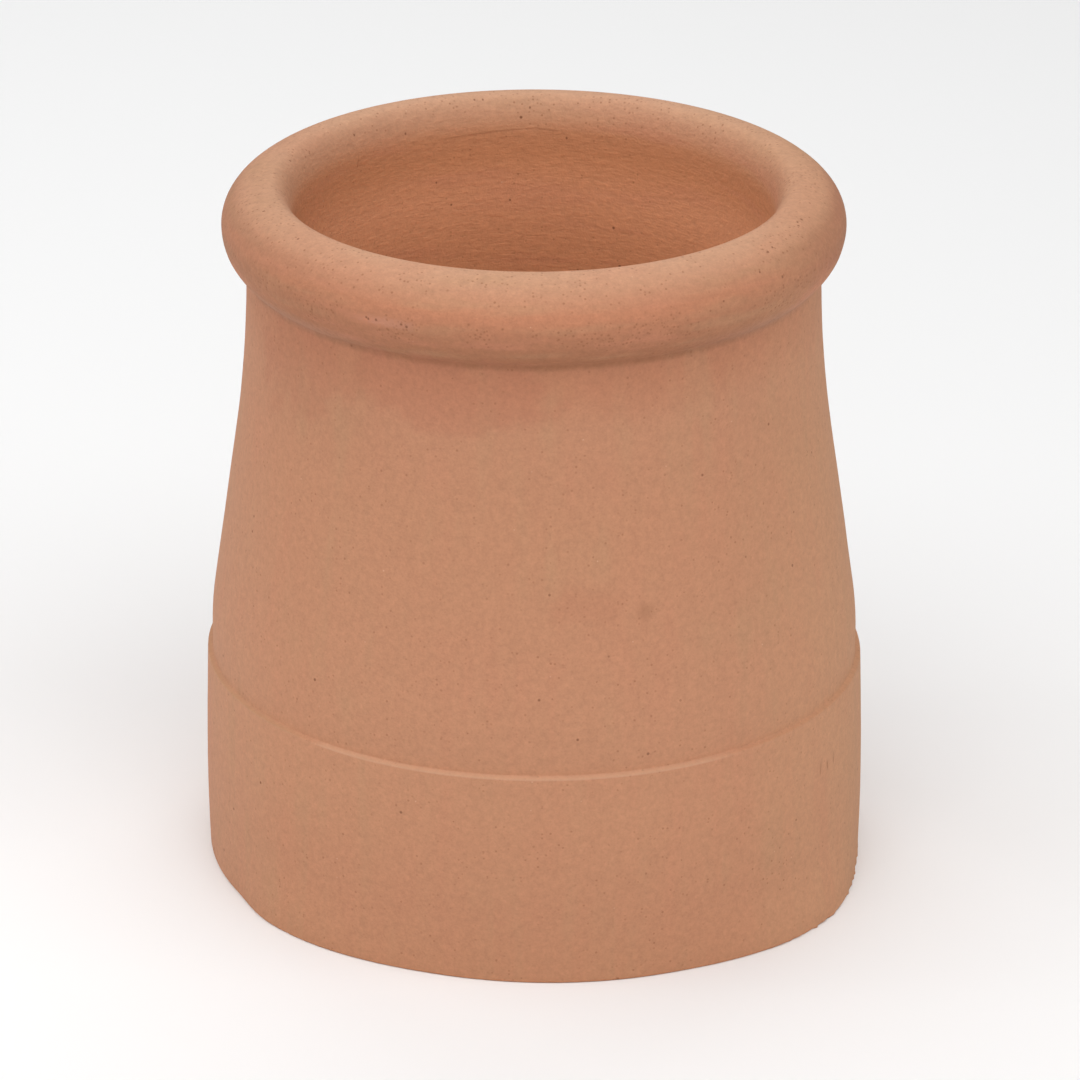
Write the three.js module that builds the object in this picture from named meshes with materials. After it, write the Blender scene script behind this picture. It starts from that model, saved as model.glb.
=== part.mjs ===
// A roll-top chimney pot of fired clay, thrown as one open tube: a plain band at the foot
// that ends in a narrow ledge, a body that draws in to a neck, and a thick rolled rim
// round the mouth. Millimetres, +Z up, origin at the centre of the foot.
import * as THREE from 'three';

// Heights, measured up the pot's own axis
const potHeight = 300;           // foot to the crest of the roll
const bandHeight = 92;           // foot to the band's top edge
const ledgeRise = 0.7;           // fall of the ledge, from the body out to that edge
const bellyHeight = 36;          // foot to where the band is fullest
const taperLead = 18.3;          // ledge up to where the body draws in
const neckDrop = 55.3;           // roll's widest point down to where the taper meets the neck
const rollCrown = 17.7;          // crest of the roll above its widest point
const rollSwing = 20.8;          // how far the roll's underside would swing below that point

// Radii and what stands out from them, measured from the axis
const bodyRadius = 136;
const neckRadius = 119;
const wallThickness = 20;
const bandProud = 2.2;           // band's top edge past the body
const bellySwell = 1.5;          // band's fullest point past its top edge
const footTuck = 1.1;            // foot inside the band's fullest point
const rollOverhang = 9.9;        // roll past the neck
const rollSetback = 9.8;         // crest of the roll out from the bore

// Roundings where two stretches of the wall meet
const footArris = 1.6;
const bellyRounding = 900;
const bandArris = 0.7;
const ledgeHollow = 0.6;
const bodyRounding = 135;
const neckHollow = 505;
const boreArris = 3;

// The foot was cut a little out of square, so the pot leans towards -X when it stands
const footSkew = THREE.MathUtils.degToRad(1.4);
const skewHeight = 160;          // rings above this are square to the axis again

// How far a flat facet may lie inside the true curve
const facetDepth = 0.12;

const rollCentre = potHeight - rollCrown;
const ledgeHeight = bandHeight + ledgeRise;
const taperStart = ledgeHeight + taperLead;
const taperEnd = rollCentre - neckDrop;
const bandTopRadius = bodyRadius + bandProud;
const bellyRadius = bandTopRadius + bellySwell;
const footRadius = bellyRadius - footTuck;
const footBore = bodyRadius - wallThickness;
const mouthRadius = neckRadius - wallThickness;
const crestRadius = mouthRadius + rollSetback;
const rollRadius = neckRadius + rollOverhang;

const firedClay = new THREE.MeshStandardMaterial({
  name: 'fired_clay', color: 0xc08c6c, roughness: 0.92, metalness: 0,
});

// Number of straight steps that keep an arc within the facet depth
function stepsFor(radius, turn) {
  const step = 2 * Math.acos(Math.max(0, 1 - facetDepth / radius));
  return Math.max(2, Math.ceil(Math.abs(turn) / step));
}

// A corner of the wall's outline, with the radius that rounds it
function corner(radius, height, rounding) {
  return { at: new THREE.Vector2(radius, height), rounding };
}

// A corner's two directions away from it, its turn, and how far its rounding reaches
function cornerShape(before, here, after) {
  const toBefore = before.clone().sub(here.at).normalize();
  const toAfter = after.clone().sub(here.at).normalize();
  const turn = Math.PI - Math.acos(THREE.MathUtils.clamp(toBefore.dot(toAfter), -1, 1));
  return { at: here.at, toBefore, toAfter, turn, reach: here.rounding * Math.tan(turn / 2) };
}

// Points of the arc that rounds a corner, from one tangent point to the other
function roundedCorner(shape, reach) {
  const radius = reach / Math.tan(shape.turn / 2);
  const first = shape.at.clone().addScaledVector(shape.toBefore, reach);
  const last = shape.at.clone().addScaledVector(shape.toAfter, reach);
  const inward = shape.toBefore.clone().add(shape.toAfter).normalize();
  const centre = shape.at.clone().addScaledVector(inward, radius / Math.cos(shape.turn / 2));
  const side = Math.sign(first.clone().sub(centre).cross(last.clone().sub(centre)));
  const steps = stepsFor(radius, shape.turn);
  const points = [];
  for (let i = 0; i <= steps; i += 1) {
    points.push(first.clone().rotateAround(centre, (side * shape.turn * i) / steps));
  }
  return points;
}

// A run of wall from start to end with its corners rounded, each rounding held within the
// straight stretches that it shares with its neighbours
function roundedRun(start, corners, end) {
  const stops = [start, ...corners.map((each) => each.at), end];
  const shapes = corners.map((each, i) => cornerShape(stops[i], each, stops[i + 2]));
  const room = stops.slice(1).map((stop, i) => {
    const used = (shapes[i - 1]?.reach ?? 0) + (shapes[i]?.reach ?? 0);
    return Math.min(1, stop.distanceTo(stops[i]) / used);
  });
  return shapes.flatMap((shape, i) => (
    roundedCorner(shape, shape.reach * Math.min(room[i], room[i + 1]))
  ));
}

// Part of an upright ellipse about the roll's centre, without its first point
function rollArc(halfWidth, halfHeight, from, to) {
  const steps = stepsFor(Math.max(halfWidth, halfHeight), to - from);
  const points = [];
  for (let i = 1; i <= steps; i += 1) {
    const angle = from + ((to - from) * i) / steps;
    points.push(new THREE.Vector2(
      crestRadius + halfWidth * Math.cos(angle),
      rollCentre + halfHeight * Math.sin(angle),
    ));
  }
  return points;
}

// The roll springs from the neck in a sharp crease, swings out to its widest point, and
// goes over its crest and down to the bore
function rollOutline() {
  const halfWidth = rollRadius - crestRadius;
  const creaseAngle = -Math.acos((neckRadius - crestRadius) / halfWidth);
  const crease = new THREE.Vector2(neckRadius, rollCentre + rollSwing * Math.sin(creaseAngle));
  return [
    crease,
    ...rollArc(halfWidth, rollSwing, creaseAngle, 0),
    ...rollArc(halfWidth, rollCrown, 0, Math.PI / 2),
    ...rollArc(rollSetback, rollCrown, Math.PI / 2, Math.PI),
  ];
}

// The wall's cross-section, once round: up the outside, over the roll and down the bore
function wallOutline() {
  const footMiddle = new THREE.Vector2((footRadius + footBore) / 2, 0);
  const outside = roundedRun(footMiddle, [
    corner(footRadius, 0, footArris),
    corner(bellyRadius, bellyHeight, bellyRounding),
    corner(bandTopRadius, bandHeight, bandArris),
    corner(bodyRadius, ledgeHeight, ledgeHollow),
    corner(bodyRadius, taperStart, bodyRounding),
    corner(neckRadius, taperEnd, neckHollow),
  ], new THREE.Vector2(neckRadius, rollCentre));
  const bore = roundedRun(new THREE.Vector2(mouthRadius, rollCentre), [
    corner(mouthRadius, taperEnd, neckHollow),
    corner(footBore, taperStart, bodyRounding),
    corner(footBore, 0, boreArris),
  ], footMiddle);
  const outline = [...outside, ...rollOutline(), ...bore];
  return [...outline, outline[0].clone()];
}

// Slants the lower rings, more and more down to the foot, which lies in its skewed cut
function skewFoot(geometry) {
  const position = geometry.attributes.position;
  for (let i = 0; i < position.count; i += 1) {
    const height = position.getZ(i);
    const share = Math.max(0, 1 - height / skewHeight);
    position.setZ(i, height - position.getX(i) * Math.tan(footSkew) * share);
  }
}

// The pot is turned on the wheel about its axis, then leaned until its foot stands flat
function chimneyPot() {
  const segments = stepsFor(bellyRadius, 2 * Math.PI);
  const geometry = new THREE.LatheGeometry(wallOutline(), segments);
  geometry.rotateX(Math.PI / 2);
  skewFoot(geometry);
  const pot = new THREE.Mesh(geometry, firedClay);
  pot.name = 'chimney_pot';
  pot.rotation.y = -footSkew;
  return pot;
}

const part = new THREE.Group();
part.add(chimneyPot());

export default part;
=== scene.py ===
# A roll-top chimney pot of buff-orange fired clay, standing on its cut foot.
# Metres, +Z up, with the origin at the centre of the foot.
import functools
import itertools
import math

import bpy
from mathutils import Matrix, Vector


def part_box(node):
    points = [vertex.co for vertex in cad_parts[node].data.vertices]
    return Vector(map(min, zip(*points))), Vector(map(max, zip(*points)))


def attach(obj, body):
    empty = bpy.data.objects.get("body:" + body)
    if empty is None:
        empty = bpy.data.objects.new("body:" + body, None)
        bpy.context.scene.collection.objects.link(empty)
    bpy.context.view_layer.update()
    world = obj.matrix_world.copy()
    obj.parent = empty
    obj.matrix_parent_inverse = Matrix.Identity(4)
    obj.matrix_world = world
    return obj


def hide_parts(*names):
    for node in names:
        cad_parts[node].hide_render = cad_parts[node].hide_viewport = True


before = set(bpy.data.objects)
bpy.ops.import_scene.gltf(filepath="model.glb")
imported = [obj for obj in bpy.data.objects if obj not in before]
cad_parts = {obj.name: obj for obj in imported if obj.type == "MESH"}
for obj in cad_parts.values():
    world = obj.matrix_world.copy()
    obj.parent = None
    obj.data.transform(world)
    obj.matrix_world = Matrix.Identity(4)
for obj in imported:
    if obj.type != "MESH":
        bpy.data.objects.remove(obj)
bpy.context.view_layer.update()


# The pot: one open tube of coarse clay, thrown on a wheel. A band at the foot ends in a
# narrow ledge, the body draws in to a neck, and the rim is rolled outwards over itself.
# It was cut from the wheel a little out of square, and fired without a glaze.

body_radius = 0.136
neck_radius = 0.119
wall_thickness = 0.020
band_proud = 0.0022          # the band's top edge past the body
belly_swell = 0.0015         # the band's fullest point past its top edge
foot_tuck = 0.0011           # the foot inside the band's fullest point
roll_overhang = 0.0099
roll_setback = 0.0098        # the roll's crest out from the bore

foot_skew = math.radians(1.4)
skew_height = 0.160          # above this the rings are square to the axis

band_top_radius = body_radius + band_proud
belly_radius = band_top_radius + belly_swell
foot_radius = belly_radius - foot_tuck
foot_bore = body_radius - wall_thickness
mouth_radius = neck_radius - wall_thickness
crest_radius = mouth_radius + roll_setback
roll_half_width = neck_radius + roll_overhang - crest_radius

# The pot's solid in the frame leans too, so its highest point is on one side of the crest
solid_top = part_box("chimney_pot")[1].z
pot_height = (solid_top - crest_radius * math.sin(foot_skew)) / math.cos(foot_skew)
band_height = 0.092
ledge_height = band_height + 0.0007
belly_height = 0.036
taper_start = ledge_height + 0.0183
roll_crown = 0.0177          # the crest above the roll's widest point
roll_swing = 0.0208          # how far the roll's underside would swing below that point
roll_centre = pot_height - roll_crown
taper_end = roll_centre - 0.0553

foot_arris = 0.0012
belly_rounding = 0.9
band_arris = 0.0007
ledge_hollow = 0.0006
body_rounding = 0.135
neck_hollow = 0.505
bore_arris = 0.003

arc_depth = 0.00002          # how far a short facet may lie inside its arc
wall_step = 0.0046           # longest step up the straight of the wall
roll_step = 0.0016           # and over the roll
crease_reach = 0.0010        # how far the crease under the roll is smeared, each way
smear_points = 8


def rounded_run(start, corners, end):
    """Points along a stretch of wall whose corners, as (radius, height, rounding), are arcs"""
    stops = [Vector(start), *(Vector(each[:2]) for each in corners), Vector(end)]
    points = []
    for before, here, after, each in zip(stops, stops[1:], stops[2:], corners):
        to_before = (before - here).normalized()
        to_after = (after - here).normalized()
        turn = math.pi - to_before.angle(to_after)
        first = here + to_before * each[2] * math.tan(turn / 2)
        inward = (to_before + to_after).normalized()
        centre = here + inward * each[2] / math.cos(turn / 2)
        side = math.copysign(1, to_after.cross(to_before))
        steps = max(2, math.ceil(turn / (2 * math.acos(1 - arc_depth / each[2]))))
        for i in range(steps + 1):
            spin = Matrix.Rotation(side * turn * i / steps, 2)
            points.append(centre + spin @ (first - centre))
    return points


def roll_arc(half_width, half_height, start, end):
    """Points of an upright oval about the roll's centre, without its first one"""
    steps = math.ceil((end - start) * max(half_width, half_height) / roll_step)
    angles = (start + (end - start) * i / steps for i in range(1, steps + 1))
    return [Vector((crest_radius + half_width * math.cos(angle),
                    roll_centre + half_height * math.sin(angle))) for angle in angles]


def filled_in(points):
    """The same points, with more between any two that lie further apart than a wall step"""
    full = []
    for here, there in zip(points, points[1:]):
        steps = max(1, math.ceil((there - here).length / wall_step))
        full += [here.lerp(there, i / steps) for i in range(steps)]
    return full


def wall_outline():
    """The wall's section: points up the outside, over the crest and down the bore, each as
    (radius, height) with how far inside the bore it is, from 0 to 1"""
    foot_middle = ((foot_radius + foot_bore) / 2, 0)
    crease_angle = -math.acos((neck_radius - crest_radius) / roll_half_width)
    crease = Vector((neck_radius, roll_centre + roll_swing * math.sin(crease_angle)))
    underside = [each for each in roll_arc(roll_half_width, roll_swing, crease_angle, 0)
                 if (each - crease).length > crease_reach]
    neck_end = crease - Vector((0, crease_reach))
    shares = [i / smear_points for i in range(smear_points)]
    smear = [neck_end.lerp(crease, share).lerp(crease.lerp(underside[0], share), share)
             for share in shares]
    outside = rounded_run(foot_middle, [
        (foot_radius, 0, foot_arris),
        (belly_radius, belly_height, belly_rounding),
        (band_top_radius, band_height, band_arris),
        (body_radius, ledge_height, ledge_hollow),
        (body_radius, taper_start, body_rounding),
        (neck_radius, taper_end, neck_hollow),
    ], (neck_radius, roll_centre))
    outer_roll = [*smear, *underside,
                  *roll_arc(roll_half_width, roll_crown, 0, math.pi / 2)]
    inner_roll = roll_arc(roll_setback, roll_crown, math.pi / 2, math.pi)
    bore = rounded_run((mouth_radius, roll_centre), [
        (mouth_radius, taper_end, neck_hollow),
        (foot_bore, taper_start, body_rounding),
        (foot_bore, 0, bore_arris),
    ], foot_middle)
    outside = [each for each in outside if each.y < neck_end.y]
    up = filled_in([*outside, *outer_roll])
    over = [outer_roll[-1], *inner_roll[:-1]]
    down = filled_in([inner_roll[-1], *bore, outside[0]])
    inside = [0.0] * len(up) + [i / len(over) for i in range(len(over))] + [1.0] * len(down)
    return up + over + down, inside


outline, inside = wall_outline()
steps_along = ((there - here).length for here, there in zip(outline, outline[1:]))
runs = list(itertools.accumulate(steps_along, initial=0.0))


def run_at(height, in_bore=False):
    """How far along the outline the wall reaches a height, outside or in the bore"""
    for here, there, run, next_run, share in zip(outline, outline[1:], runs, runs[1:], inside):
        if min(here.y, there.y) <= height <= max(here.y, there.y) and (share > 0) == in_bore:
            return run + (next_run - run) * (height - here.y) / (there.y - here.y)


class Wire:
    """A socket in a node tree. Sums on it add Math nodes, and node() adds any other"""

    def __init__(self, tree, socket=None):
        self.tree = tree
        self.socket = socket

    @staticmethod
    def pick(sockets, name):
        by_identifier = {each.identifier: each for each in sockets}
        return by_identifier[name] if name in by_identifier else sockets[name]

    def node(self, kind, settings=None, sockets=None, result=0):
        made = self.tree.nodes.new(kind)
        for name, value in (settings or {}).items():
            if name == "stops":
                self.set_stops(made.color_ramp.elements, value)
            else:
                setattr(made, name, value)
        for name, value in (sockets or {}).items():
            socket = self.pick(made.inputs, name)
            if isinstance(value, Wire):
                self.tree.links.new(value.socket, socket)
            else:
                socket.default_value = value
        return Wire(self.tree, self.pick(made.outputs, result) if made.outputs else None)

    @staticmethod
    def set_stops(elements, stops):
        """Gives a ramp its stops, as (share, linear colour)"""
        for i, (share, colour) in enumerate(stops):
            stop = elements[i] if i < len(elements) else elements.new(share)
            stop.position = share
            stop.color = (*colour, 1)

    def other(self, result):
        """Another output of the node that this wire comes from"""
        return Wire(self.tree, self.pick(self.socket.node.outputs, result))

    def maths(self, operation, *others):
        return self.node("ShaderNodeMath", {"operation": operation},
                         dict(enumerate([self, *others])))

    def __add__(self, other):
        return self.maths("ADD", other)

    def __sub__(self, other):
        return self.maths("SUBTRACT", other)

    def __rsub__(self, other):
        return self.maths("MULTIPLY_ADD", -1.0, other)

    def __mul__(self, other):
        return self.maths("MULTIPLY", other)

    def __truediv__(self, other):
        return self.maths("DIVIDE", other)

    __radd__ = __add__
    __rmul__ = __mul__

    def rise(self, low, high):
        """0 below low, 1 above high, and a smooth step between"""
        return self.node("ShaderNodeMapRange", {"interpolation_type": "SMOOTHSTEP"},
                         {"Value": self, "From Min": low, "From Max": high})

    def vector(self, operation, *others):
        return self.node("ShaderNodeVectorMath", {"operation": operation},
                         dict(enumerate([self, *others])))

    def scaled(self, factor):
        return self.node("ShaderNodeVectorMath", {"operation": "SCALE"},
                         {"Vector": self, "Scale": factor})

    def noise(self, period, detail=2.0, roughness=0.5, stretch=(1, 1, 1)):
        """Noise about 0 to 1 at this place, one lump to a period"""
        place = self.vector("MULTIPLY", stretch)
        return self.node("ShaderNodeTexNoise", None, {
            "Vector": place, "Scale": 1 / period, "Detail": detail, "Roughness": roughness})

    def cells(self, period):
        """How far the nearest of some scattered points is, one to a period, and its chance"""
        nearest = self.node("ShaderNodeTexVoronoi", None, {
            "Vector": self, "Scale": 1 / period}, "Distance")
        chance = self.node("ShaderNodeSeparateColor", None, {"Color": nearest.other("Color")})
        return nearest, chance

    def toward(self, colour, share):
        """This colour turned by a share, 0 to 1, towards another"""
        return self.node("ShaderNodeMix", {"data_type": "RGBA"}, {
            "Factor_Float": share, "A_Color": self, "B_Color": colour}, "Result_Color")


wheel_inputs = {
    "Outline": ("Geometry", None),
    "Facets Round": ("Int", 456),
    "Sweep Radius": ("Float", body_radius),
    "Foot Skew": ("Float", math.tan(foot_skew)),
    "Lean": ("Float", -foot_skew),
    "Skew Height": ("Float", skew_height),
    "Out Of Round": ("Float", 0.0006),
    "Lumps": ("Float", 0.00025),
    "Ring Pitch": ("Float", 0.011),
    "Ring Depth": ("Float", 0.00025),
    "Flare Left": ("Float", 0.0033),
    "Flare Right": ("Float", 0.0048),
    "Flare Height": ("Float", 0.030),
    "Burr": ("Float", 0.0012),
    "Seed": ("Float", 3.0),
    "Clay": ("Material", None),
}
round_radius = 0.13          # the wall's middling radius, by which it is unrolled
sway_period = 0.14           # of the pot's slow drift from round
lump_period = 0.022
burr_period = 0.0032

# A span is where something starts, is full, eases off and ends. These go round the pot, in
# radians, and are positive on the right of the front
burr_span = (0.70, 0.95, 1.45, 1.60)
left_flare_span = (-1.13, -0.88, -0.82, -0.26)
right_flare_span = (0.38, 0.96, 1.05, 1.42)
left_front_span = (-1.4, -1.0, -0.7, -0.4)
far_right_span = (0.8, 1.2, 1.7, 2.1)
pale_ledge_span = (-0.74, -0.66, 0.5, 0.7)

# And these go up the wall
arris_span = (-0.001, 0.0, 0.001, 0.003)
ledge_line_span = (0.0912, 0.0917, 0.0922, 0.0930)
upper_neck_span = (0.200, 0.235, 0.255, 0.262)
lip_span = (0.2610, 0.2650, 0.2670, 0.2730)
roll_face_span = (0.272, 0.282, 0.292, 0.298)
roll_belt_span = (0.2720, 0.2765, 0.2815, 0.2860)

# Redder patches under the roll and on the wall, partly real redder clay and partly painted shade
# under the roll: degrees from the front, height, half its width, half its height, and how strong
# it is
red_and_shade_patches = [
    (-17, 0.2500, 0.046, 0.0165, 1.0),
    (24, 0.2520, 0.034, 0.0120, 0.45),
    (-54, 0.2460, 0.030, 0.0200, 0.85),
    (90, 0.2500, 0.060, 0.0120, 0.2),
    (-120, 0.2480, 0.060, 0.0140, 0.5),
    (170, 0.2500, 0.060, 0.0140, 0.7),
    (10, 0.1640, 0.015, 0.0075, 0.5),
]
# Single marks, as the first four of those
coarse_oval = (45, 0.0335, 0.013, 0.010)
scar_oval = (-26.9, 0.2811, 0.0110, 0.0018)
smudge_oval = (20.3, 0.1585, 0.0032, 0.0034)


def between(wire, span):
    """1 in the middle of a span of four numbers, fading to 0 at its ends"""
    return wire.rise(span[0], span[1]) * (1 - wire.rise(span[2], span[3]))


def unrolled(azimuth, run):
    """Places on the wall as on a flat sheet: round the pot, and along its outline"""
    return azimuth.node("ShaderNodeCombineXYZ", None, {"X": azimuth * round_radius, "Y": run})


def on_sheet(azimuth, height, in_bore=False):
    """The place on that sheet of a point given by degrees from the front and height"""
    return math.radians(azimuth) * round_radius, run_at(height, in_bore), 0


def joined(operation, wires):
    """Some wires brought down to one, by an operation that takes two"""
    return functools.reduce(lambda so_far, each: so_far.maths(operation, each), wires)


def oval(sheet, azimuth, height, wide, tall, fray=0.0, soft=0.5):
    """1 inside an oval on the sheet and 0 outside, with its edge softened and frayed"""
    local = sheet.vector("SUBTRACT", on_sheet(azimuth, height))
    local = local.vector("MULTIPLY", (1 / wide, 1 / tall, 0))
    distance = local.vector("LENGTH").other("Value") + fray
    return 1 - distance.rise(1 - soft, 1 + soft)


def kiln_tints_and_shade(place, sheet, height, bore):
    """What the kiln and the hands left on the clay, in soft shapes that the mesh can carry; the
    red blooms under the roll are partly painted shade
    """
    fray = (place.noise(0.012, 3.0) - 0.5) * 2.2
    patches = [oval(sheet, *shape, fray=fray, soft=0.3) * strength
               for *shape, strength in red_and_shade_patches]
    thrown = height.rise(0.262, 0.270).maths("MAXIMUM", bore)
    wall = place.noise(0.055, 3.0) * 0.55 + place.noise(0.007, 2.0, stretch=(1, 1, 0.07)) * 0.45
    smear = place.noise(0.007, 2.0, stretch=(0.12, 0.12, 1))
    belt = between(height, roll_belt_span) * (1 - bore)
    crest = height.rise(0.2900, 0.2970)
    crowd = place.noise(0.024, 2.0).rise(0.38, 0.58)
    coarse = oval(sheet, *coarse_oval, fray=fray, soft=0.4) * 0.7
    return {
        "bloom_and_shade": joined("MAXIMUM", patches),
        "cloud": wall + (smear - wall) * thrown,
        "thrown": thrown,
        "crowd": crowd * (belt * 2.2 + crest * 0.6 + 0.2) + coarse,
    }


def potters_wheel():
    """Nodes that turn a wall's outline about the axis and give it its slight unevenness"""
    tree = bpy.data.node_groups.new("potters_wheel", "GeometryNodeTree")
    for name, (kind, _) in wheel_inputs.items():
        tree.interface.new_socket(name=name, in_out="INPUT", socket_type=f"NodeSocket{kind}")
    tree.interface.new_socket(name="Wall", in_out="OUTPUT", socket_type="NodeSocketGeometry")
    start = Wire(tree).node("NodeGroupInput")
    given = {name: start.other(name) for name in wheel_inputs}

    section = start.node("GeometryNodeMeshToCurve", None, {"Mesh": given["Outline"]})
    circle = start.node("GeometryNodeCurvePrimitiveCircle", None, {
        "Resolution": given["Facets Round"], "Radius": given["Sweep Radius"]})
    circle = start.node("GeometryNodeSetCurveNormal", {"mode": "Z_UP"}, {"Curve": circle})
    wall = start.node("GeometryNodeCurveToMesh", None, {
        "Curve": circle, "Profile Curve": section})

    place = start.node("GeometryNodeInputPosition")
    x = place.node("ShaderNodeSeparateXYZ", None, {"Vector": place})
    y = x.other("Y")
    height = x.other("Z")
    azimuth = x.maths("ARCTAN2", 0 - y)
    sideways = place.vector("MULTIPLY", (1, 1, 0)).vector("NORMALIZE")
    normal = start.node("GeometryNodeInputNormal")
    bore, run = (start.node("GeometryNodeInputNamedAttribute", {"data_type": "FLOAT"},
                            {"Name": name}) for name in ("bore", "run"))
    seeded = place.vector("ADD", start.node(
        "ShaderNodeCombineXYZ", None, {"X": given["Seed"]}))
    for name, tint in kiln_tints_and_shade(seeded, unrolled(azimuth, run), height, bore).items():
        wall = start.node("GeometryNodeStoreNamedAttribute", {"data_type": "FLOAT"}, {
            "Geometry": wall, "Name": name, "Value": tint})

    # Lumps and rings stay clear of the foot, which is cut flat, and of the crest
    broad = seeded.noise(sway_period, 0.0)
    lump = seeded.noise(lump_period, 1.0)
    ring = (height / given["Ring Pitch"] + broad * 1.5).maths("SINE") * bore
    free = height.rise(0.001, 0.008) * (1 - height.rise(pot_height - 0.006, pot_height))
    bump = (lump - 0.5) * given["Lumps"] + ring * given["Ring Depth"]

    near_foot = 1 - height.rise(0.0, given["Flare Height"])
    at_arris = between(height, arris_span) * (1 - bore)
    burr = (seeded.noise(burr_period, 1.0) - 0.48).maths("MAXIMUM", 0.0) * 4.0
    out = (broad - 0.5) * given["Out Of Round"]
    flare = between(azimuth, left_flare_span) * given["Flare Left"]
    flare = flare + between(azimuth, right_flare_span) * given["Flare Right"]
    out = out + flare * near_foot * (1 - bore)
    out = out + burr * between(azimuth, burr_span) * at_arris * given["Burr"]
    skewed = (1 - height / given["Skew Height"]).maths("MAXIMUM", 0.0)
    drop = x * (1 + out / given["Sweep Radius"]) * given["Foot Skew"] * skewed

    sink = start.node("ShaderNodeCombineXYZ", None, {"Z": 0 - drop})
    offset = normal.scaled(bump * free).vector("ADD", sideways.scaled(out))
    offset = offset.vector("ADD", sink)
    wall = start.node("GeometryNodeSetPosition", None, {"Geometry": wall, "Offset": offset})
    lean = start.node("ShaderNodeCombineXYZ", None, {"Y": given["Lean"]})
    wall = start.node("GeometryNodeTransform", None, {"Geometry": wall, "Rotation": lean})
    wall = start.node("GeometryNodeFlipFaces", None, {"Mesh": wall})
    wall = start.node("GeometryNodeSetShadeSmooth", None, {"Geometry": wall})
    wall = start.node("GeometryNodeRealizeInstances", None, {"Geometry": wall})
    wall = start.node("GeometryNodeSetMaterial", None, {
        "Geometry": wall, "Material": given["Clay"]})
    start.node("NodeGroupOutput", None, {"Wall": wall})
    return tree


# Linear colours of the clay by height, as a share of the pot's, outside and in the bore, with
# painted light and shade in both
outer_clay_and_shade = [
    (0.00, (0.500, 0.236, 0.130)),
    (0.10, (0.500, 0.233, 0.131)),
    (0.25, (0.515, 0.247, 0.139)),
    (0.42, (0.498, 0.236, 0.134)),
    (0.66, (0.486, 0.230, 0.129)),
    (0.79, (0.484, 0.226, 0.129)),
    # Painted shade under the roll: the stops from here to 0.93 are darker, with a painted dark
    # line at the crease at 0.877
    (0.85, (0.460, 0.200, 0.110)),
    (0.872, (0.455, 0.196, 0.108)),
    (0.877, (0.360, 0.152, 0.078)),
    (0.888, (0.385, 0.165, 0.085)),
    (0.93, (0.425, 0.180, 0.097)),
    (0.96, (0.495, 0.205, 0.112)),
    # Painted light: the paler crest
    (1.00, (0.525, 0.283, 0.171)),
]
# The bore's clay is painted lighter than the outside's, standing in for light that reaches down
# it, and paler at the crest, also painted light
bore_clay_and_light = [
    (0.76, (0.640, 0.292, 0.143)),
    (0.86, (0.650, 0.296, 0.152)),
    (0.92, (0.540, 0.230, 0.107)),
    (0.95, (0.525, 0.228, 0.110)),
    (0.97, (0.535, 0.268, 0.150)),
    (1.00, (0.525, 0.283, 0.171)),
]
salmon_clay = (0.54, 0.222, 0.130, 1)
buff_clay = (0.46, 0.255, 0.140, 1)
red_clay_and_shade = (0.43, 0.165, 0.095, 1)
rose_clay = (0.52, 0.270, 0.165, 1)
olive_clay = (0.55, 0.296, 0.164, 1)
painted_highlight_pale = (0.58, 0.34, 0.215, 1)
painted_highlight_mauve = (0.47, 0.262, 0.180, 1)
umber_clay_and_shade = (0.30, 0.135, 0.070, 1)
pore_brown = (0.23, 0.082, 0.034, 1)
pit_brown = (0.15, 0.048, 0.020, 1)
scar_pink = (0.56, 0.27, 0.185, 1)
grit_cream = (0.70, 0.44, 0.30, 1)
foot_edge_orange = (0.62, 0.27, 0.13, 1)

clay_roughness = 0.85
clay_specular = 0.3
mottle_period = 0.0030
drag_period = 0.0018
pore_spacing = 0.0017
grit_spacing = 0.0067

# The few pits that catch the eye, as degrees from the front and height
roll_pits = [(-31, 0.2817), (-30.6, 0.2813), (-29, 0.2815), (-24, 0.2814), (-23, 0.2807),
             (36, 0.286), (46, 0.292), (51, 0.2965), (53, 0.297), (65, 0.298), (66, 0.2985),
             (68, 0.2985), (77, 0.299), (-72, 0.299)]
bore_pits = [(-155, 0.266), (172, 0.283), (-159, 0.255), (-174, 0.255), (-132, 0.295),
             (-147, 0.290), (-166, 0.2989), (-168, 0.2988), (-179, 0.2955)]
pit_radius = 0.00042

# Cracks and scratches, as degrees from the front, height, length, width, slope in degrees
# and whether they are in the bore
long_scratches = [
    (-168.4, 0.2860, 0.053, 0.0010, 2.5, True),
    (176.8, 0.2866, 0.015, 0.0010, -4.3, True),
    (-131.5, 0.2832, 0.0045, 0.0010, 70.0, True),
    (-43.6, 0.2780, 0.0055, 0.0011, 82.0, False),
    (59.0, 0.0674, 0.0060, 0.0014, 84.0, False),
    (61.5, 0.0668, 0.0050, 0.0014, 97.0, False),
    (64.0, 0.0676, 0.0055, 0.0014, 88.0, False),
]


def spots(sheet, marks, in_bore=False):
    """How far the nearest of some marks lies on the sheet"""
    away = [sheet.vector("DISTANCE", on_sheet(*mark, in_bore)).other("Value")
            for mark in marks]
    return joined("MINIMUM", away)


def slash(sheet, azimuth, height, length, width, slope, in_bore):
    """1 on a thin slanting mark on the sheet"""
    local = sheet.node("ShaderNodeMapping", {"vector_type": "TEXTURE"}, {
        "Vector": sheet, "Location": on_sheet(azimuth, height, in_bore),
        "Rotation": (0, 0, math.radians(slope)), "Scale": (length / 2, width / 2, 1)})
    return 1 - local.vector("LENGTH").other("Value").rise(0.5, 1.3)


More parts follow.
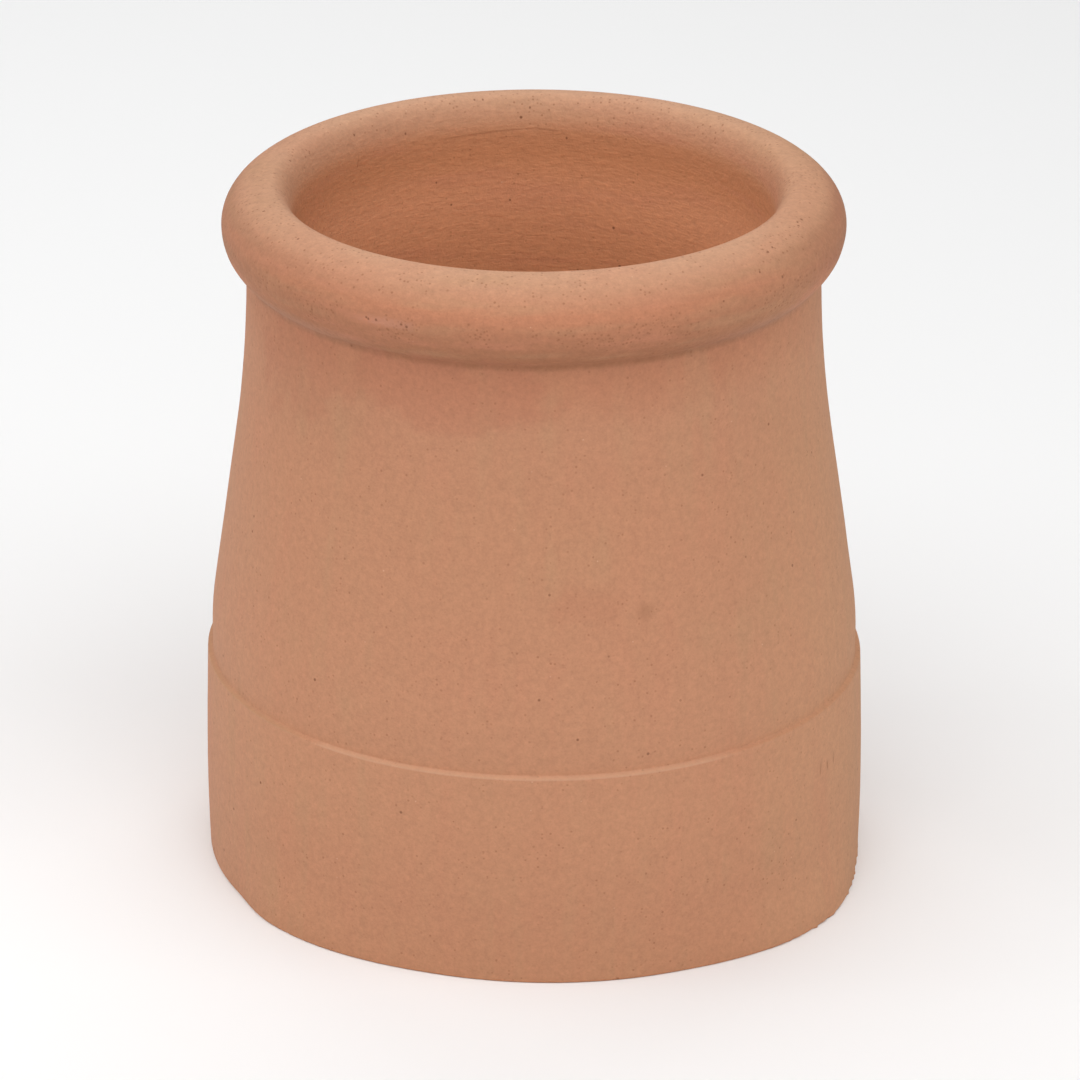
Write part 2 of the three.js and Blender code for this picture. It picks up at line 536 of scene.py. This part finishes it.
def fired_clay():
    """Unglazed buff-orange clay: cloudy colour, pores, pale grit and a potter's drag lines, with
    painted shade, light and highlights on the roll, the crest, the ledge and in the bore
    """
    material = bpy.data.materials.new("fired_clay_pot")
    material.use_nodes = True
    material.node_tree.nodes.clear()
    wire = Wire(material.node_tree)
    place = wire.node("ShaderNodeTexCoord", None, None, "Object")
    place = wire.node("ShaderNodeMapping", None, {
        "Vector": place, "Rotation": (0, foot_skew, 0)})
    x = wire.node("ShaderNodeSeparateXYZ", None, {"Vector": place})
    azimuth = x.maths("ARCTAN2", 0 - x.other("Y"))
    bore, height, run, cloud, bloom_and_shade, thrown, crowd = (
        wire.node("ShaderNodeAttribute", {"attribute_name": name}, None, "Fac")
        for name in ("bore", "height", "run", "cloud", "bloom_and_shade", "thrown", "crowd"))
    sheet = unrolled(azimuth, run)
    outside = 1 - bore

    up = height / pot_height
    outer = up.node("ShaderNodeValToRGB", {"stops": outer_clay_and_shade}, {"Fac": up})
    inner = up.node("ShaderNodeValToRGB", {"stops": bore_clay_and_light}, {"Fac": up})
    colour = outer.toward(inner, bore.rise(0.1, 0.9))

    # Kiln colour: rosy on the left, olive on the right, salmon and buff clouds between, and red
    # blooms that are partly painted shade under the roll; after them, painted shade and
    # highlights where marked
    side = x / body_radius
    left = 0 - side
    colour = colour.toward(rose_clay, left.rise(0.70, 1.0) * 0.5)
    colour = colour.toward(olive_clay, side.rise(0.55, 1.0) * outside * 0.6)
    crest = height.rise(0.288, 0.297)
    salmon = cloud.rise(0.50, 0.68) * (thrown * outside * 0.35 + 0.25)
    colour = colour.toward(salmon_clay, salmon * (1 - crest * 0.7))
    colour = colour.toward(buff_clay, (1 - cloud).rise(0.50, 0.68) * outside * 0.4)
    colour = colour.toward(red_clay_and_shade, bloom_and_shade * 0.42)
    on_roll = between(height, roll_face_span) * outside
    behind = azimuth.maths("ABSOLUTE").rise(1.9, 2.5)
    far_right = between(azimuth, far_right_span)
    far_left = left.rise(0.45, 0.8)
    # Painted shade: the roll's face and the crest are darkened towards the sides, most at the
    # far right and a little at the far left
    colour = colour.toward(umber_clay_and_shade, on_roll * side * side * (far_right * 0.2 + 0.45))
    colour = colour.toward(red_clay_and_shade, on_roll * far_right * 0.25)
    colour = colour.toward(umber_clay_and_shade, crest * far_right * 0.12)
    colour = colour.toward(umber_clay_and_shade, (crest + on_roll) * far_left * outside * 0.1)
    # Painted sheen: the crest is paler at the back
    colour = colour.toward(painted_highlight_pale, crest * behind * outside * 0.3)
    # Painted highlight: a pale mauve line along the roll's lower lip, towards the sides
    lip = between(height, lip_span) * outside
    colour = colour.toward(painted_highlight_mauve, lip * (side * side).rise(0.10, 0.50) * 0.4)
    left_neck = between(height, upper_neck_span) * outside
    left_neck = left_neck * between(azimuth, left_front_span)
    colour = colour.toward(umber_clay_and_shade, left_neck * 0.12)

    # Fine unevenness, with lines dragged round the roll and the bore; the bore is also painted
    # lighter towards its right side, painted light
    mottle = place.noise(mottle_period, 2.0, 0.95) - 0.5
    drag = (place.noise(drag_period, 1.0, 0.7, stretch=(0.3, 0.3, 1)) - 0.5) * thrown
    tone = mottle * (0.41 - bore * 0.12) + drag * 0.15
    colour = colour.scaled(1 + tone + side * bore * 0.05)

    # What stands out: small pores, large ones, pale grit, the ledge's painted highlight and
    # shade, and an orange strip along the foot's bottom edge
    fine, fine_chance = place.cells(pore_spacing)
    speck = (1 - fine.rise(0.12, 0.42)) * (fine_chance + crowd * 0.5).rise(0.90, 1.12)
    coarse, chance = place.cells(grit_spacing)
    grain = 1 - coarse.rise(0.03, 0.07)
    colour = colour.toward(grit_cream, grain * chance.rise(0.80, 0.82) * 0.5)
    colour = colour.toward(pore_brown, grain * (1 - chance.rise(0.18, 0.20)) * 0.45)
    colour = colour.toward(pore_brown, speck * 0.5)
    scar = oval(sheet, *scar_oval, fray=mottle * 3, soft=0.6)
    colour = colour.toward(scar_pink, scar * 0.35)
    pit = spots(sheet, roll_pits).maths("MINIMUM", spots(sheet, bore_pits, True))
    pit = 1 - (pit + mottle * 0.0006).rise(pit_radius * 0.5, pit_radius * 1.9)
    large_pore = (1 - coarse.rise(0.05, 0.13)) * chance.other("Green").rise(0.92, 0.94)
    colour = colour.toward(pit_brown, pit.maths("MAXIMUM", large_pore) * 0.72)
    scratch = joined("MAXIMUM", [slash(sheet, *each) for each in long_scratches])
    colour = colour.toward(pore_brown, scratch * (mottle * 2 + 0.7) * 0.55)
    smudge = oval(sheet, *smudge_oval, soft=0.6)
    colour = colour.toward(umber_clay_and_shade, smudge * 0.38)

    # The ledge line: a painted highlight along it at the front, a painted shadow line at the
    # right, and at the left turned buff, painted to even out the shade of its step
    at_ledge = between(height, ledge_line_span) * outside
    colour = colour.toward(painted_highlight_pale, at_ledge * between(azimuth, pale_ledge_span) * 0.5)
    colour = colour.toward(umber_clay_and_shade, at_ledge * azimuth.rise(0.6, 0.85) * 0.08)
    colour = colour.toward(buff_clay, at_ledge * (1 - azimuth.rise(-0.85, -0.70)) * 0.5)
    # An orange strip along the bottom edge of the foot
    colour = colour.toward(foot_edge_orange, (1 - height.rise(0.0004, 0.0020)) * 0.4)

    relief = mottle * (thrown * 0.00012 - bore * 0.00012 + 0.00030) + drag * 0.00026
    bump = wire.node("ShaderNodeBump", None, {"Height": relief, "Distance": 1.0})
    shader = wire.node("ShaderNodeBsdfPrincipled", None, {
        "Base Color": colour, "Normal": bump, "Roughness": clay_roughness,
        "Specular IOR Level": clay_specular})
    wire.node("ShaderNodeOutputMaterial", None, {"Surface": shader})
    return material


def thrown_pot(name):
    """The outline on the wheel, as a plain mesh"""
    mesh = bpy.data.meshes.new(name)
    edges = [(i, (i + 1) % len(outline)) for i in range(len(outline))]
    mesh.from_pydata([(each.x - body_radius, -each.y, 0) for each in outline], edges, [])
    heights = [each.y for each in outline]
    for carried, values in {"bore": inside, "height": heights, "run": runs}.items():
        mesh.attributes.new(carried, "FLOAT", "POINT").data.foreach_set("value", values)
    pot = bpy.data.objects.new(name, mesh)
    bpy.context.scene.collection.objects.link(pot)

    wheel = pot.modifiers.new("potters_wheel", "NODES")
    wheel.node_group = potters_wheel()
    clay = fired_clay()
    for socket in wheel.node_group.interface.items_tree:
        kind, value = wheel_inputs.get(socket.name, (None, None))
        if kind == "Material":
            wheel[socket.identifier] = clay
        elif value is not None:
            wheel[socket.identifier] = value
    bpy.context.view_layer.update()
    depsgraph = bpy.context.evaluated_depsgraph_get()
    pot.data = bpy.data.meshes.new_from_object(pot.evaluated_get(depsgraph))
    pot.modifiers.clear()
    return pot


fired_clay_pot = thrown_pot("fired_clay_pot")
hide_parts("chimney_pot")
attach(fired_clay_pot, "root")


# The floor: a plain near-white sheet that the pot stands on. It runs out of the view on
# every side, and only a soft shadow round the foot shows on it.

floor_width = 12.0
floor_white = (0.9, 0.9, 0.9, 1)
floor_roughness = 0.9

floor_mesh = bpy.data.meshes.new("floor")
half = floor_width / 2
floor_mesh.from_pydata(
    [(-half, -half, 0), (half, -half, 0), (half, half, 0), (-half, half, 0)], [], [(0, 1, 2, 3)])
floor = bpy.data.objects.new("floor", floor_mesh)
bpy.context.scene.collection.objects.link(floor)
floor_paint = bpy.data.materials.new("floor")
floor_paint.use_nodes = True
floor_shader = floor_paint.node_tree.nodes["Principled BSDF"]
floor_shader.inputs["Base Color"].default_value = floor_white
floor_shader.inputs["Roughness"].default_value = floor_roughness
floor_mesh.materials.append(floor_paint)


# The light: soft boxes in front, to the sides and behind, all above the pot, and a faint
# even dome, so that light reaches down the bore as well as round the outside.

dome_white = (1, 1, 1, 1)
dome_strength = 0.3
light_distance = 2.4
light_target = Vector((0, 0, 0.15))
# Each box as degrees round from the front, degrees up, width, height and brightness
softboxes = {
    "front": (0, 38, 2.4, 1.4, 0.9),
    "front_high": (0, 60, 2.0, 1.2, 2.7),
    "left": (-65, 35, 1.8, 1.4, 1.6),
    "right": (65, 35, 1.8, 1.4, 1.9),
    "far_left": (-105, 35, 1.8, 1.4, 1.3),
    "back": (180, 45, 2.4, 1.2, 1.85),
}

world = bpy.data.worlds.new("studio")
world.use_nodes = True
dome = world.node_tree.nodes["Background"]
dome.inputs["Color"].default_value = dome_white
dome.inputs["Strength"].default_value = dome_strength
bpy.context.scene.world = world

for name, (azimuth, elevation, width, height, brightness) in softboxes.items():
    turn, lift = math.radians(azimuth), math.radians(elevation)
    toward_light = Vector((math.sin(turn) * math.cos(lift), -math.cos(turn) * math.cos(lift),
                           math.sin(lift)))
    light = bpy.data.lights.new(name, "AREA")
    light.shape = "RECTANGLE"
    light.size = width
    light.size_y = height
    light.energy = brightness * math.pi * width * height
    softbox = bpy.data.objects.new(name, light)
    softbox.location = light_target + toward_light * light_distance
    softbox.rotation_euler = toward_light.to_track_quat("Z", "Y").to_euler()
    softbox.visible_camera = False
    bpy.context.scene.collection.objects.link(softbox)
bpy.context.scene.view_settings.view_transform = "Standard"


# The camera: a long lens from in front and above, level with the leaning pot, so that the
# pot looks upright in the frame.

camera_offset = 0.0025       # sideways, from the pot's axis
camera_distance = 2.4879
camera_height = 1.19898
camera_pitch = math.radians(23.086)
camera_lens = 213.96
sensor_width = 36

camera_data = bpy.data.cameras.new("camera")
camera_data.lens = camera_lens
camera_data.sensor_width = sensor_width
camera = bpy.data.objects.new("camera", camera_data)
bpy.context.scene.collection.objects.link(camera)
aimed = Matrix.Translation((camera_offset, -camera_distance, camera_height))
aimed = aimed @ Matrix.Rotation(math.pi / 2 - camera_pitch, 4, "X")
camera.matrix_world = Matrix.Rotation(-foot_skew, 4, "Y") @ aimed
bpy.context.scene.camera = camera
